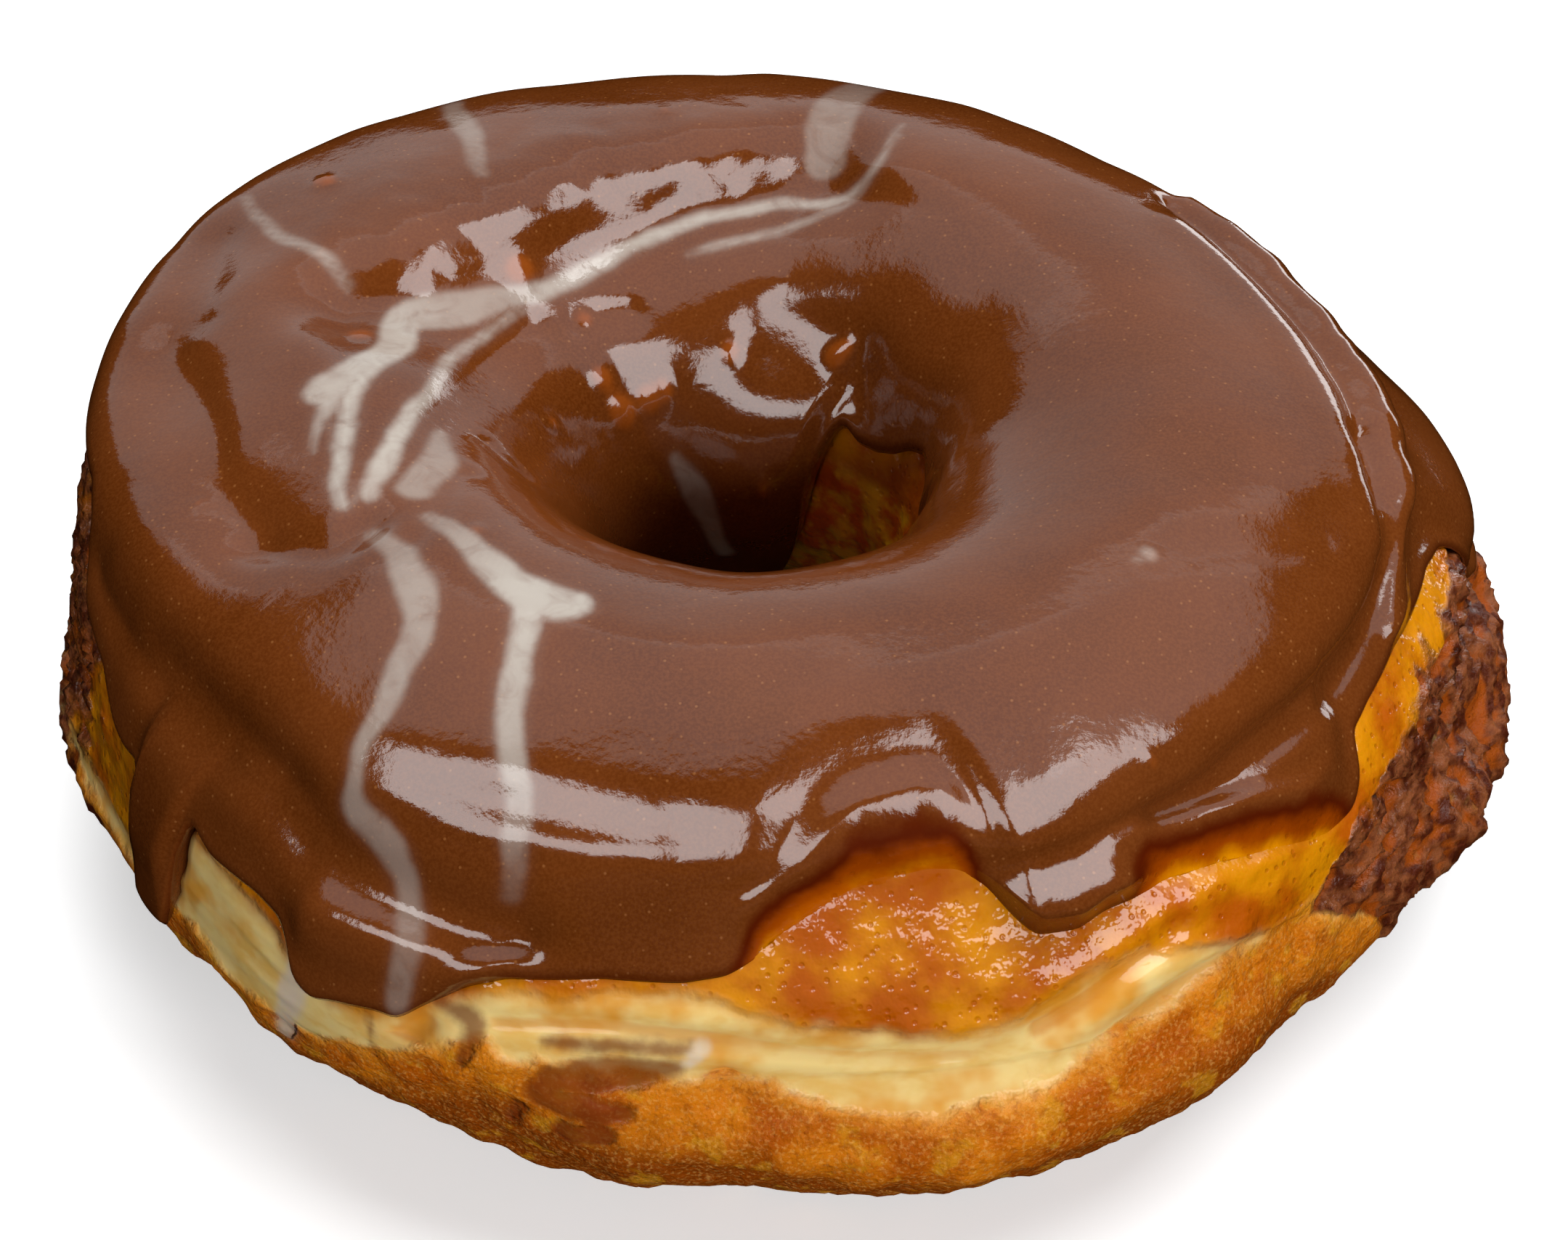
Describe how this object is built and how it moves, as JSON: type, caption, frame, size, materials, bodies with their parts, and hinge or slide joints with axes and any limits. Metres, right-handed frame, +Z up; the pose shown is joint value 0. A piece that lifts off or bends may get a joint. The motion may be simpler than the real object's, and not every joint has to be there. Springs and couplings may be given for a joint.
{
  "type": "iced ring doughnut",
  "caption": "Ring doughnut of raised fried dough with a dome, a pale belt and a browned lower tier, under dripping chocolate icing marbled with white glaze.",
  "frame": {"origin": "on the table, under the middle of the doughnut's outline", "axes": "+Z up out of the hole, +X along the longer way across, -Y towards the front that the picture shows"},
  "size_m": [0.1002, 0.0919, 0.036],
  "materials": {
    "fried_dough": "browned fried dough, matte and crumbly below, amber under thin glaze above, with a pale cream belt",
    "chocolate_icing": "wet milk chocolate icing with streaks of white glaze"
  },
  "bodies": {
    "root": {"dough_ring": "fried_dough", "chocolate_icing": "chocolate_icing"}
  },
  "joints": []
}
